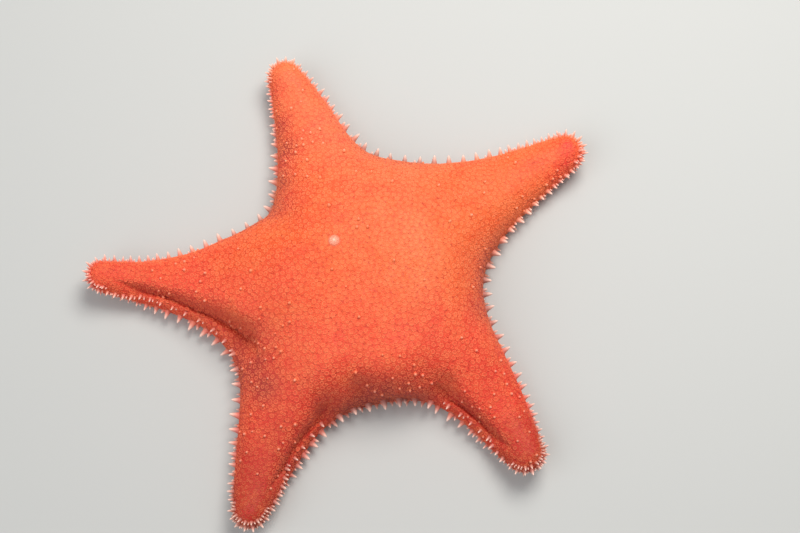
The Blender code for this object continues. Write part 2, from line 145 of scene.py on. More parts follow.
FURROW_WALL = (
    (1.0, 0.0), (0.92, 0.12), (0.82, 0.32), (0.7, 0.55), (0.58, 0.77), (0.42, 0.92), (0.22, 0.98), (0.0, 1.0),
)
MOUTH_RADIUS = 0.0088
MOUTH_SLOPE = 0.0012
MOUTH_DEPTH = 0.0073
BAY_SLANT = 0.59
NUDGE = 0.002
SIDE_STEPS = 92
TIP_STEPS = 26
WALL_STEPS = 54
RIM_STEPS = 6
FLOOR_STEPS = 9
PETAL_MARGIN = 0.01
WELD = 1e-5
SLIVER = 1e-6
COAT_DEPTH = 0.00045
SKIN_LUMPS = ((110.0, 0.00016), (330.0, 0.00007))
SMOOTH_BELOW = 0.8


def heading(degrees):
    """Unit vector or vectors in plan at a bearing."""
    angle = np.radians(degrees)
    return np.stack([np.cos(angle), np.sin(angle)], axis=-1)


def smooth(low, high, value):
    """0 below low, 1 above high, and an even S between them."""
    share = np.clip((value - low) / (high - low), 0.0, 1.0)
    return share * share * (3.0 - 2.0 * share)


def unit(rows):
    """Vectors in rows, each made one unit long."""
    return rows / norm(rows, axis=1)[:, None]


def blend(first, last, share):
    return first + (last - first) * share


def bay_beside(arm, side):
    """The bay on the counter-clockwise (+1) or clockwise (-1) side of an arm."""
    names = list(ARMS)
    return BAYS[arm if side > 0 else names[names.index(arm) - 1]]


def tip_centre(arm):
    """Centre of the round tip, from the mouth, and the bearing in which the arm ends."""
    a = ARMS[arm]
    end = a["bearing"] + a["turn"]
    return heading(a["bearing"]) * a["reach"] - heading(end) * a["tip"], end


def side_points(arm, side, share):
    """Points of the edge on one side of the arm, from the bay (share 0) to the round of the tip (share 1)."""
    bay = bay_beside(arm, side)
    a = ARMS[arm]
    centre, end = tip_centre(arm)
    shoulder = centre + heading(end + side * (90.0 - a["taper"])) * a["tip"]
    start = heading(bay["bearing"]) * bay["radius"]
    length = norm(shoulder - start)
    leave = start - side * heading(bay["bearing"] + bay["turn"] + 90.0) * length * bay["pull"]
    arrive = shoulder - heading(end - side * a["taper"]) * length * TIP_PULL
    s = share[:, None]
    return (1 - s) ** 3 * start + 3 * (1 - s) ** 2 * s * leave + 3 * (1 - s) * s**2 * arrive + s**3 * shoulder


def crest_points(arm, share):
    """Points in plan on the crest line of the arm, from the mouth (0) to the centre of the tip (1)."""
    centre, end = tip_centre(arm)
    bend = centre - heading(end) * norm(centre) * CREST_BEND
    s = share[:, None]
    return 2 * (1 - s) * s * bend + s**2 * centre


class Ribs:
    """Lines in plan from a foot on the crest line to a point of the edge, with what shapes the wall there."""

    def __init__(self, arm, side, share, foot, edge, away, slant):
        self.arm = arm
        self.share = share
        self.foot = foot
        self.edge = edge
        self.away = away
        self.span = norm(edge - foot, axis=1)
        self.out = (edge - foot) / self.span[:, None]
        self.lip = np.minimum(FURROW_HALF / (self.span * slant), FURROW_MOST)
        bay = bay_beside(arm, side)["wall"] if side else ARM_WALL
        self.folded = np.zeros(len(share))
        self.fold_inset = np.zeros(len(share))
        fold = FOLDS.get((arm, side))
        if fold:
            self.folded = smooth(*fold["starts"], share) * (1.0 - smooth(*fold["ends"], share))
            self.fold_inset = blend(*fold["insets"], smooth(0.0, ARM_FROM, share))
        wall = blend(blend(bay, ARM_WALL, smooth(0.0, ARM_FROM, share)), FOLD_WALL, self.folded)
        self.wall = self.span * wall / (self.span**4 + wall**4) ** 0.25

    def at(self, share):
        return self.foot + (self.edge - self.foot) * share[:, None]


def side_ribs(arm, side, share):
    """Ribs at given shares of one side, from the bay to the round of the tip."""
    centre, _ = tip_centre(arm)
    middle = (side_points(arm, -1, share) + side_points(arm, 1, share)) / 2.0
    reached = np.clip(middle @ centre / (centre @ centre), 0.0, 1.0) * smooth(0.0, ARM_FROM, share)
    foot = crest_points(arm, reached)
    forward = crest_points(arm, reached + NUDGE) - crest_points(arm, reached - NUDGE)
    edge = side_points(arm, side, share)
    rib = edge - foot
    crossed = np.abs(rib[:, 0] * forward[:, 1] - rib[:, 1] * forward[:, 0])
    slant = crossed / (norm(rib, axis=1) * norm(forward, axis=1))
    run = side_points(arm, side, share + NUDGE) - side_points(arm, side, share - NUDGE)
    away = side * unit(np.column_stack([-run[:, 1], run[:, 0]]))
    return Ribs(arm, side, share, foot, edge, away, np.where(share > 0.0, slant, BAY_SLANT))


def tip_ribs(arm, turn):
    """Ribs round the tip, at given turns in degrees from the way the arm points."""
    centre, end = tip_centre(arm)
    share = np.ones(len(turn))
    away = heading(end + turn)
    return Ribs(arm, 0, share, centre * share[:, None], centre + away * ARMS[arm]["tip"], away, share)


def lift(arm, plan):
    """How far the arm's end curls up from the floor."""
    a = ARMS[arm]
    along = plan @ heading(a["bearing"]) / a["reach"]
    return TIP_LIFT * np.maximum((along - LIFT_FROM) / (1.0 - LIFT_FROM), 0.0) ** 2


def fading(plan, places):
    """How strong each of some places is at points in plan: most at its middle, and fading all round."""
    for bearing, distance, spread, most in places:
        away = norm(plan - heading(bearing) * distance, axis=1) / spread
        yield most * np.exp(-(away**2))


def bulge(share, fullness):
    """How high the wall stands, of its whole height, at a share of the way in from its foot."""
    return (1.0 - (1.0 - share) ** fullness) ** (1.0 / fullness)


def back_point(ribs, part):
    """A point of the back on each rib, from the crest line (part 0) to the edge (1), and its marks."""
    curved = 1.0 - math.sin(part * math.pi / 2) ** (2.0 / FULLNESS)
    inset = ribs.wall * curved + (ribs.span - ribs.wall) * (1.0 - part) ** 2
    plan = ribs.edge - ribs.out * inset[:, None]
    slope = 1.0 + (norm(plan, axis=1) / FALL_RADIUS) ** FALL_POWER
    back = END_HEIGHT + (DOME_HEIGHT - END_HEIGHT) / slope
    plain = np.clip(inset / ribs.wall, 0.0, 1.0)
    behind = np.clip((inset - ribs.fold_inset) / (ribs.wall - ribs.fold_inset), 0.0, 1.0)
    risen = blend(bulge(plain, FULLNESS), bulge(behind, FOLD_FULLNESS), ribs.folded)
    brim = np.sqrt(1.0 - (1.0 - np.clip(inset / FLANGE_ROUND, 0.0, 1.0)) ** 2)
    fall = smooth(*FLANGE_FALL, inset / np.maximum(ribs.fold_inset, FLANGE_ROUND))
    flange = FLANGE_HEIGHT * brim * (1.0 - fall) * ribs.folded
    wall = (back - EDGE_HEIGHT) * risen
    height = EDGE_HEIGHT + (wall**FOLD_BLEND + flange**FOLD_BLEND) ** (1.0 / FOLD_BLEND)
    push = sum(fading(plan, SWELLS)) * smooth(*SWELL_FROM, risen)
    lean = SWELL_LEAN * (1.0 - blend(plain, behind, ribs.folded))
    plan = plan + ribs.out * (push * np.sin(lean))[:, None]
    place = np.column_stack([plan, height + push * np.cos(lean) + lift(ribs.arm, plan)])
    # Painted shade: darker colour low on the walls by the bays, in the folds' creases and at the listed
    # places.
    low_wall = 1.0 - smooth(*LOW_WALL, risen)
    by_bay = 1.0 - smooth(*BY_BAY, ribs.share)
    crease = CREASE_PAINTED_SHADE * ribs.folded * np.exp(-(((inset - ribs.fold_inset) / CREASE_WIDTH) ** 2))
    dusk = np.maximum(low_wall * by_bay * (1.0 - FOLD_CLEARS * ribs.folded), crease)
    dusk = np.maximum.reduce([dusk, *fading(plan, PAINTED_SHADE_PLACES)])
    return place, np.column_stack([dusk, np.zeros(len(plan)), sum(fading(plan, BLUSHES))])


def under_points(ribs):
    """Rows of points under the ribs, from the edge round the rim and over the flat to the furrow's roof."""
    flat_from = 1.0 - RIM_INSET / ribs.span
    stages = []
    for turn in np.linspace(0.0, math.pi / 2, RIM_STEPS + 1)[1:]:
        inset = RIM_INSET * (1.0 - math.cos(turn))
        stages.append((1.0 - inset / ribs.span, EDGE_HEIGHT * (1.0 - math.sin(turn))))
    for step in np.linspace(0.0, 1.0, FLOOR_STEPS + 1)[1:-1]:
        stages.append((blend(flat_from, ribs.lip, step), 0.0))
    for width, depth in FURROW_WALL:
        stages.append((ribs.lip * width, FURROW_DEPTH * depth))
    rows = []
    for share, height in stages:
        plan = ribs.at(share)
        hollow = 1.0 - smooth(MOUTH_RADIUS - MOUTH_SLOPE, MOUTH_RADIUS, norm(plan, axis=1))
        height = np.maximum(height, MOUTH_DEPTH * hollow) + lift(ribs.arm, plan)
        rows.append(np.column_stack([plan, height]))
    return rows


def petal_rows(arm):
    """Rows of points over and under one petal, an arm with its fifth of the disc, with the marks of each."""
    along = np.linspace(0.0, 1.0, SIDE_STEPS + 1)
    half = 90.0 - ARMS[arm]["taper"]
    turn = np.linspace(-half, half, TIP_STEPS + 1)[1:-1]
    stretches = (side_ribs(arm, -1, along), tip_ribs(arm, turn), side_ribs(arm, 1, along[::-1]))
    points, marks = [], []
    for part in np.linspace(0.0, 1.0, WALL_STEPS + 1):
        places, marked = zip(*(back_point(ribs, part) for ribs in stretches))
        points.append(np.concatenate(places))
        marks.append(np.concatenate(marked))
    for number, row in enumerate(zip(*(under_points(ribs) for ribs in stretches))):
        points.append(np.concatenate(row))
        marks.append(np.tile([0.0, min(1.0, (number + 1) / RIM_STEPS), 0.0], (len(points[-1]), 1)))
    return points, marks


def mesh_of(name, bm):
    """A mesh made from bm, which is then done with."""
    mesh = bpy.data.meshes.new(name)
    bm.to_mesh(mesh)
    bm.free()
    return mesh


def add_object(name, data):
    made = bpy.data.objects.new(name, data)
    bpy.context.scene.collection.objects.link(made)
    return made


skin_bm = bmesh.new()
petal_map = skin_bm.loops.layers.uv.new("petals")
mark_layers = [skin_bm.verts.layers.float.new(mark) for mark in SKIN_MARKS]
for number, arm in enumerate(ARMS):
    points, marks = petal_rows(arm)
    grid = bmesh.ops.create_grid(
        skin_bm, x_segments=len(points[0]) - 1, y_segments=len(points) - 1, size=0.5, calc_uvs=True
    )
    for vert, point, values in zip(grid["verts"], np.concatenate(points), np.concatenate(marks)):
        vert.co = Vector(point)
        for layer, value in zip(mark_layers, values):
            vert[layer] = value
    for face in {face for vert in grid["verts"] for face in vert.link_faces}:
        for loop in face.loops:
            within = (1.0 - 2 * PETAL_MARGIN) * loop[petal_map].uv.x
            loop[petal_map].uv.x = number + PETAL_MARGIN + within
bmesh.ops.remove_doubles(skin_bm, verts=skin_bm.verts, dist=WELD)
bmesh.ops.dissolve_degenerate(skin_bm, edges=skin_bm.edges, dist=SLIVER)
bmesh.ops.recalc_face_normals(skin_bm, faces=skin_bm.faces)
bmesh.ops.translate(skin_bm, verts=skin_bm.verts, vec=(*MOUTH, 0.0))
skin_bm.normal_update()
for vert in skin_bm.verts:
    lumps = sum(size * noise.noise(vert.co * fineness) for fineness, size in SKIN_LUMPS)
    vert.co += vert.normal * (lumps * (1.0 - SMOOTH_BELOW * vert[mark_layers[1]]) - COAT_DEPTH)


def binary(operation):
    """Two methods of Wire, for an operator with the wire before it and after it."""
    settings = {"operation": operation}
    return (
        lambda self, other: self.node("Math", settings, {0: self, 1: other}),
        lambda self, other: self.node("Math", settings, {0: other, 1: self}),
    )


class Wire:
    """One socket of a material. Arithmetic on it adds a Math node, and node() adds any other."""

    def __init__(self, tree, socket=None):
        self.tree = tree
        self.socket = socket

    def node(self, kind, settings, values, output=0):
        made = self.tree.nodes.new("ShaderNode" + kind)
        for name, setting in settings.items():
            if name == "stops":
                ramp = made.color_ramp.elements
                while len(ramp) < len(setting):
                    ramp.new(0.5)
                for element, (position, colour) in zip(ramp, setting):
                    element.position = position
                    element.color = colour
            else:
                setattr(made, name, setting)
        for name, value in values.items():
            if isinstance(value, Wire):
                value.into(made.inputs[name])
            else:
                made.inputs[name].default_value = value
        return Wire(self.tree, made.outputs[output])

    def into(self, socket):
        self.tree.links.new(self.socket, socket)

    def tint(self, base, colour):
        """The base colour, mixed towards another as this wire goes from 0 to 1."""
        settings = {"data_type": "RGBA", "clamp_factor": True}
        return self.node("Mix", settings, {0: self, 6: base, 7: colour}, 2)

    __add__, __radd__ = binary("ADD")
    __sub__, __rsub__ = binary("SUBTRACT")
    __mul__, __rmul__ = binary("MULTIPLY")
    __truediv__, __rtruediv__ = binary("DIVIDE")


# The skin's colours by distance in plan from the palest place of the disc, as a share of SKIN_REACH: partly
# its own orange on the disc and red along the arms, partly painted light, paler at that place and darker to
# the far arm tips.
SKIN_STOPS = (
    (0.0, (0.85, 0.205, 0.105, 1.0)),
    (0.26, (0.845, 0.155, 0.045, 1.0)),
    (0.4, (0.84, 0.142, 0.027, 1.0)),
    (0.62, (0.85, 0.104, 0.047, 1.0)),
    (0.78, (0.7, 0.055, 0.028, 1.0)),
    (0.9, (0.44, 0.025, 0.015, 1.0)),
    (1.0, (0.3, 0.015, 0.009, 1.0)),
)
# The palest place, north of the mouth, from which the painted fall-off of light darkens the skin.
SKIN_MIDDLE = (0.007, 0.085, 0.0)
SKIN_REACH = 0.192
YELLOW = (0.88, 0.25, 0.08, 1.0)
SCARLET = (0.78, 0.05, 0.04, 1.0)
# Colour of the painted shade.
PAINTED_SHADE_COLOUR = (0.25, 0.038, 0.038, 1.0)
SPECK = (0.38, 0.024, 0.013, 1.0)
PIT = (0.56, 0.032, 0.017, 1.0)
BELOW = (0.88, 0.3, 0.13, 1.0)
CROWN = (0.95, 0.25, 0.11, 1.0)
PALE = (0.93, 0.64, 0.53, 1.0)
# Scale and detail of each noise, and how far the tints follow the noises and the skin's marks: pairs give the
# share at the palest place and what is lost from it, or added, over SKIN_REACH.
NOISES = {"wide": (45.0, 2.0), "patch": (105.0, 3.0), "close": (240.0, 2.0), "fine": (900.0, 1.0)}
WIDE_SHIFT = 0.3
PATCH_SHARE = (1.8, 1.5)
MOTTLE = 0.6
MORE_YELLOW = 0.08
MORE_SCARLET = 0.06
FINE_CROWNS = 0.9
FINE_PITS = 0.8
# How much more the bare skin darkens between the granules under the painted shade.
PAINTED_SHADE_PITS = 1.6
SPECK_BELOW = 0.43
SPECK_SHARE = (0.2, 11.0)
# How far the painted shade darkens the colour.
PAINTED_SHADE_SHARE = 0.75
BELOW_SHARE = 0.55
CROWN_LOSS = 0.6
CROWN_SHARE = (0.1, 1.7)
MARKS = (*SKIN_MARKS, "crown", "pit", "pale")


def new_finish(name, roughness):
    """A material of a given roughness, and its shader."""
    made = bpy.data.materials.new(name)
    made.use_nodes = True
    shader = made.node_tree.nodes["Principled BSDF"]
    shader.inputs["Roughness"].default_value = roughness
    return made, shader


def flesh(name, grain=0.0, bare=0.0):
    """Living skin: orange on the disc and redder along the arms, mottled; painted shade lies low in the bays
    and folds, and painted fall-off of light darkens the far arm tips.
    """
    made, shader = new_finish(name, roughness=0.5)
    start = Wire(made.node_tree)
    spot = start.node("TexCoord", {}, {}, "Object")
    flat = start.node("VectorMath", {"operation": "MULTIPLY"}, {0: spot, 1: (1.0, 1.0, 0.0)})
    values = {0: flat, 1: SKIN_MIDDLE}
    away = start.node("VectorMath", {"operation": "DISTANCE"}, values, "Value") / SKIN_REACH
    wide, patch, close, fine = (
        start.node("TexNoise", {}, {"Vector": spot, "Scale": scale, "Detail": detail})
        for scale, detail in NOISES.values()
    )
    marks = {mark: start.node("Attribute", {"attribute_name": mark}, {}, "Fac") for mark in MARKS}
    shifted = away + (wide - 0.5) * WIDE_SHIFT
    colour = start.node("ValToRGB", {"stops": SKIN_STOPS}, {"Fac": shifted})
    patchy = (patch - 0.5) * (PATCH_SHARE[0] - PATCH_SHARE[1] * away)
    speckled = (away + SPECK_SHARE[0]) * (SPECK_SHARE[1] * bare)
    crowned = (1.0 - CROWN_LOSS * away) * (CROWN_SHARE[0] + CROWN_SHARE[1] * close)
    for share, tint in (
        (patchy + (close - 0.5) * MOTTLE + MORE_YELLOW - marks["blush"], YELLOW),
        ((0.5 - close) * MOTTLE - patchy * MOTTLE + MORE_SCARLET + marks["blush"], SCARLET),
        ((fine - 0.5) * FINE_CROWNS, CROWN),
        # The bare skin between the granules is darker on the back, and darker still under the painted shade.
        ((0.5 - fine) * FINE_PITS + bare * (1.0 - marks["below"] + marks["dusk"] * PAINTED_SHADE_PITS), PIT),
        ((SPECK_BELOW - fine) * speckled, SPECK),
        # Painted shade.
        (marks["dusk"] * PAINTED_SHADE_SHARE, PAINTED_SHADE_COLOUR),
        (marks["below"] * BELOW_SHARE, BELOW),
        (marks["crown"] * crowned, CROWN),
        (marks["pit"], PIT),
        (marks["pale"], PALE),
    ):
        colour = share.tint(colour, tint)
    colour.into(shader.inputs["Base Color"])
    if grain:
        cells = start.node("TexVoronoi", {"feature": "SMOOTH_F1"}, {"Vector": spot, "Scale": 1300.0})
        values = {"Height": 1.0 - cells, "Strength": 0.6, "Distance": grain}
        start.node("Bump", {}, values).into(shader.inputs["Normal"])
    shader.inputs["Specular IOR Level"].default_value = 0.22
    return made


def show(name, mesh, finish, slot):
    """Puts a mesh, made in its place, into the scene as a smooth piece of the star."""
    mesh.shade_smooth()
    mesh.materials.append(finish)
    piece = add_object(name, mesh)
    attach(piece, "root")
    return piece


skin_mesh = mesh_of("skin", skin_bm)
skin = show("skin", skin_mesh, flesh("skin", grain=0.00025, bare=0.34), "skin")
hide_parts("disc", *ARMS)


# ---------------- sieve plate
# The madreporite: one pale round plate of lime, let into the back off its middle, through which the animal
# takes in water. Fine winding grooves run out over its face, and its rim sinks into the skin.
PLATE_BEARING = 134.0
PLATE_DISTANCE = 0.0145
PLATE_RADIUS = 0.0027
PLATE_PROUD = 0.0009
PLATE_FALL = 2.4
PLATE_SUNK = 0.0008
PLATE_PALE = (0.9, 0.52, 0.37, 1.0)
PLATE_GROOVE = (0.76, 0.15, 0.062, 1.0)
GROOVES = 17
GROOVE_DEPTH = 0.00022
GROOVE_WINDS = ((3.2, 0.0, 2.4), (8.0, 0.4, 0.9))
GROOVE_SWING = 3.0
GROOVE_SPIRAL = 5.0
GROOVE_STARTS = (0.1, 0.3)
GROOVE_ENDS = (0.93, 1.0)
GROOVE_DARKER = (0.35, 1.0)


def read(items, name, width, kind=np.float32):
    """One value of every item of a mesh, in rows of a given width."""
    values = np.empty(len(items) * width, dtype=kind)
    items.foreach_get(name, values)
    return values.reshape(-1, width)


skin_mesh.calc_loop_triangles()
corner_verts = read(skin_mesh.loop_triangles, "vertices", 3, np.int32)
corner_loops = read(skin_mesh.loop_triangles, "loops", 3, np.int32)
corner_places = read(skin_mesh.vertices, "co", 3)[corner_verts]
corner_normals = read(skin_mesh.vertices, "normal", 3)[corner_verts]
corner_unwrap = read(skin_mesh.uv_layers["petals"].uv, "vector", 2)[corner_loops]
skin_marks = [read(skin_mesh.attributes[mark].data, "value", 1) for mark in SKIN_MARKS]
corner_marks = np.hstack(skin_marks)[corner_verts]


class Spots:
    """Places on the skin, with its normal, its unwrap (whole number: the petal) and its marks at each."""

    def __init__(self, triangle, weights):
        self.triangle = triangle
        self.weights = weights

        def mixed(values):
            return np.einsum("kc,kcd->kd", weights, values[triangle])

        self.place = mixed(corner_places)
        self.normal = unit(mixed(corner_normals))
        self.unwrap = mixed(corner_unwrap)
        self.marks = mixed(corner_marks)

    def keep(self, chosen):
        return Spots(self.triangle[chosen], self.weights[chosen])

    def from_mouth(self):
        return norm(self.place[:, :2] - MOUTH, axis=1)

    def by_petal(self):
        """The name of each petal, which spots lie on it, and those spots."""
        for number, arm in enumerate(ARMS):
            here = np.floor(self.unwrap[:, 0]) == number
            yield arm, here, self.keep(here)


corners = np.arange(len(corner_places) * 3).reshape(-1, 3)
skin_tree = BVHTree.FromPolygons(corner_places.reshape(-1, 3).tolist(), corners.tolist())


def spots_nearest(points):
    """The skin's own spots nearest to given points."""
    triangle, weights = [], []
    for point in points:
        place, _, index, _ = skin_tree.find_nearest(Vector(point))
        a, b, c = (Vector(corner) for corner in corner_places[index])
        areas = [(q - place).cross(r - place).length for q, r in ((b, c), (c, a), (a, b))]
        total = sum(areas)
        triangle.append(index)
        weights.append([area / total for area in areas] if total > 0.0 else [1.0, 0.0, 0.0])
    return Spots(np.array(triangle), np.array(weights))


plate_over = Vector((*(MOUTH + heading(PLATE_BEARING) * PLATE_DISTANCE), 2 * DOME_HEIGHT))
plate_place, _, _, _ = skin_tree.ray_cast(plate_over, Vector((0.0, 0.0, -1.0)))
plate_spot = spots_nearest([plate_place])
plate_turn = Vector(plate_spot.normal[0]).to_track_quat("Z", "Y").to_matrix().to_4x4()
plate_bm = bmesh.new()
bmesh.ops.create_uvsphere(plate_bm, u_segments=120, v_segments=44, radius=1.0)
groove_layer = plate_bm.verts.layers.float.new("groove")
for vert in plate_bm.verts:
    x, y, z = vert.co
    out = math.hypot(x, y)
    winding = sum(size * noise.noise(Vector((x, y, level)) * scale) for scale, level, size in GROOVE_WINDS)
    ridge = 0.5 + 0.5 * math.sin(GROOVES * math.atan2(y, x) + winding * GROOVE_SWING + out * GROOVE_SPIRAL)
    faded = smooth(*GROOVE_STARTS, out) * (1.0 - smooth(*GROOVE_ENDS, out)) if z > 0.0 else 0.0
    vert[groove_layer] = max((1.0 - ridge) * faded, float(smooth(*GROOVE_DARKER, out)))
    height = PLATE_PROUD * (1.0 - out**PLATE_FALL) if z > 0.0 else PLATE_SUNK * z
    vert.co = Vector((x * PLATE_RADIUS, y * PLATE_RADIUS, height - (1.0 - ridge) * faded * GROOVE_DEPTH))
bmesh.ops.transform(plate_bm, verts=plate_bm.verts, matrix=Matrix.Translation(plate_place) @ plate_turn)
plate_finish, plate_shader = new_finish("sieve plate", roughness=0.55)
groove = Wire(plate_finish.node_tree).node("Attribute", {"attribute_name": "groove"}, {}, "Fac")
groove.tint(PLATE_PALE, PLATE_GROOVE).into(plate_shader.inputs["Base Color"])
sieve_plate = show("sieve_plate", mesh_of("sieve_plate", plate_bm), plate_finish, "sieve_plate")
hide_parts("madreporite")


# ---------------- rosettes of the back
# Every plate of the back is crowned by a ring of nine round granules about a sunken middle, and small rings
# of five stand between. They are of lime under thin skin, grow where they stand, and get smaller towards the
# arm tips and the edge.
GRANULE_RADIUS = 0.00036
GRANULE_SUNK = 0.4
GRANULE_SIZES = (0.85, 1.1)
RING_CLOSE = 0.8
RING_CLEAR = 0.92
RING_TURN = 0.12
RING_OUT = (0.93, 1.05)
RING_ROOT = 0.00004
RING_SIZES = (0.92, 1.08)
RING_BY_TIP = (1.0, 0.72)
RING_TIP_FROM = (0.06, 0.12)
RING_BY_EDGE = (0.72, 1.0)
RING_EDGE_TO = (0.003, 0.0075)
RING_OVAL = 0.84
RING_RELIEF = (0.42, 0.95)
RING_RELIEF_FROM = (0.035, 0.085)
RING_PIT = 0.25
RING_PIT_TO = 0.8
PATCH = 0.003
rng = np.random.default_rng(seed=11)


def random_spots(count):
    """Spots strewn evenly over the whole skin."""
    edges = corner_places[:, 1:] - corner_places[:, :1]
    area = norm(np.cross(edges[:, 0], edges[:, 1]), axis=1)
    triangle = rng.choice(len(area), size=count, p=area / area.sum())
    weights = rng.dirichlet((1.0, 1.0, 1.0), size=count)
    return Spots(triangle, weights)


def back_spots(count, least_up, lowest, off_plate):
    """Random spots that face up enough, lie high enough and keep off the sieve plate."""
    spots = random_spots(count)
    off = norm(spots.place - plate_spot.place, axis=1) > PLATE_RADIUS + off_plate
    return spots.keep((spots.normal[:, 2] > least_up) & (spots.place[:, 2] > lowest) & off)


def spaced(spots, radius, taken=(), taken_radius=()):
    """Indices of spots, in turn, whose balls of given radius keep clear of those before and of taken ones."""
    cell = 2.0 * max(np.max(radius), np.max(taken_radius, initial=0.0))
    filled = {}
    for place, own in zip(taken, taken_radius):
        filled.setdefault(tuple((place // cell).astype(int)), []).append((*place, own))
    chosen = []
    around = [(i, j, k) for i in (-1, 0, 1) for j in (-1, 0, 1) for k in (-1, 0, 1)]
    cells = (spots.place // cell).astype(int).tolist()
    for index, ((x, y, z), (a, b, c), own) in enumerate(zip(spots.place.tolist(), cells, radius.tolist())):
        near = (other for i, j, k in around for other in filled.get((a + i, b + j, c + k), ()))
        if all((x - u) ** 2 + (y - v) ** 2 + (z - w) ** 2 > (own + other) ** 2 for u, v, w, other in near):
            filled.setdefault((a, b, c), []).append((x, y, z, own))
            chosen.append(index)
    return np.array(chosen)


def rising(low, high, least=0.0, most=1.0):
    """A mark that goes from least to most between two heights of a small shape."""
    return lambda points: blend(least, most, smooth(low, high, points[:, 2]))


def shape_of(bm, **marks):
    """Points, triangles and marks of a small shape that stands up its own Z from a root at the origin."""
    bmesh.ops.triangulate(bm, faces=bm.faces)
    bm.verts.index_update()
    points = np.array([vert.co[:] for vert in bm.verts])
    faces = np.array([[vert.index for vert in face.verts] for face in bm.faces])
    bm.free()
    return points, faces, {mark: rule(points) for mark, rule in marks.items()}


def frames_on(normal, size, lean=None):
    """Axes, of a given size, that stand on each normal, turned about it at random or leant in a direction."""
    guide = rng.normal(size=normal.shape) if lean is None else lean
    first = unit(guide - normal * np.sum(guide * normal, axis=1)[:, None])
    second = np.cross(normal, first)
    return np.stack([first, second, normal], axis=2) * np.asarray(size)[:, None, None]


def strew(name, shape, spots, frames, finish, slot="skin"):
    """One mesh of copies of a small shape, each at its spot and with its patch of the skin's unwrap."""
    points, faces, marks = shape
    count = len(spots.place)
    placed = spots.place[:, None, :] + np.einsum("kij,nj->kni", frames, points)
    corners = (faces[None] + np.arange(count)[:, None, None] * len(points)).reshape(-1, 3)
    mesh = bpy.data.meshes.new(name)
    mesh.from_pydata(placed.reshape(-1, 3), (), corners)
    mesh.validate()
    spread = points[:, :2] / np.abs(points[:, :2]).max() * PATCH / 2
    patches = np.clip(spots.unwrap % 1.0, PATCH, 1.0 - PATCH)[:, None, :] + spread[None]
    patches = patches.reshape(-1, 2)[corners.ravel()]
    mesh.uv_layers.new(name="OFBake").uv.foreach_set("vector", patches.ravel())
    marks = {mark: np.tile(values, count) for mark, values in marks.items()}
    marks.update((mark, np.repeat(values, len(points))) for mark, values in zip(SKIN_MARKS, spots.marks.T))
    for mark, values in marks.items():
        mesh.attributes.new(mark, "FLOAT", "POINT").data.foreach_set("value", values)
    return show(name, mesh, finish, slot)


def add_granule(bm, radius, centre):
    """A low dome: a small ball without the part that is sunk in the skin."""
    made = bmesh.ops.create_icosphere(bm, subdivisions=1, radius=radius, matrix=Matrix.Translation(centre))
    faces = {face for vert in made["verts"] for face in vert.link_faces}
    sunk = [face for face in faces if face.calc_center_median().z < centre[2] - radius * GRANULE_SUNK]
    bmesh.ops.delete(bm, geom=sunk, context="FACES")


def rosette_of(granules):
    """A ring of granules about a sunken plate, drawn in to as many as stand side by side."""
    radius = GRANULE_RADIUS / math.sin(math.pi / granules) * RING_CLOSE
    bm = bmesh.new()
    bmesh.ops.create_circle(bm, cap_ends=True, cap_tris=True, segments=granules, radius=radius)
    for vert in bm.verts:
        vert.co.z = RING_ROOT * (vert.co.xy.length / radius) + RING_ROOT
    for step in range(granules):
        turn = 2.0 * math.pi * (step + rng.uniform(-RING_TURN, RING_TURN)) / granules
        out = radius * rng.uniform(*RING_OUT)
        size = GRANULE_RADIUS * rng.uniform(*GRANULE_SIZES)
        add_granule(bm, size, (out * math.cos(turn), out * math.sin(turn), RING_ROOT))

    def pit(points):
        return RING_PIT * (1.0 - smooth(0.0, radius * RING_PIT_TO, norm(points[:, :2], axis=1)))

    return shape_of(bm, crown=rising(0.00002, 0.00025, most=0.8), pit=pit), radius + GRANULE_RADIUS


spots = back_spots(count=150000, least_up=-0.25, lowest=0.0026, off_plate=0.0006)
local_size = blend(*RING_BY_TIP, smooth(*RING_TIP_FROM, spots.from_mouth()))
local_size *= blend(*RING_BY_EDGE, smooth(*RING_EDGE_TO, spots.place[:, 2]))
coat_finish = flesh("granules")
taken = np.empty((0, 3)), np.empty(0)
for granules, name in ((9, "rosettes"), (5, "small_rosettes")):
    rosette, outer = rosette_of(granules)
    size = local_size * rng.uniform(*RING_SIZES, size=len(local_size))
    chosen = spaced(spots, outer * size * RING_CLEAR, *taken)
    rings = spots.keep(chosen)
    taken = np.concatenate([taken[0], rings.place]), np.append(taken[1], outer * size[chosen] * RING_CLEAR)
    relief = blend(*RING_RELIEF, smooth(*RING_RELIEF_FROM, rings.from_mouth()))
    for arm, here, own in rings.by_petal():
        frames = frames_on(own.normal, size[chosen][here])
        frames[:, :, 0] *= rng.uniform(RING_OVAL, 1.0, size=(len(frames), 1))
        frames[:, :, 2] *= relief[here, None]
        strew(name + "_" + arm, rosette, own, frames, coat_finish)


# ---------------- granules between the rosettes
# Single small granules fill the skin between the rings, of the same lime and skin as they are, on the back
# and down the walls to the edge.
LOOSE_RADIUS = 0.00029
LOOSE_CLEAR = 0.9


def lone_granule(radius, raised, crown):
    bm = bmesh.new()
    add_granule(bm, radius, (0.0, 0.0, raised))
    return shape_of(bm, crown=rising(0.0001, 0.00034, most=crown))


def strew_granules(name, shape, spots, room, sizes, shrunk=1.0, taken=()):
    """Single granules at those of the spots where each has room, in one mesh for each petal."""
    size = rng.uniform(*sizes, size=len(spots.place))
    chosen = spaced(spots, room * size, *taken)
    for arm, here, own in spots.keep(chosen).by_petal():
        strew(name + arm, shape, own, frames_on(own.normal, size[chosen][here] * shrunk), coat_finish)


granule = lone_granule(LOOSE_RADIUS, raised=0.00006, crown=0.85)
spots = back_spots(count=170000, least_up=-0.4, lowest=0.0016, off_plate=0.0002)
strew_granules("granules_", granule, spots, LOOSE_RADIUS * LOOSE_CLEAR, sizes=(0.65, 1.1), taken=taken)


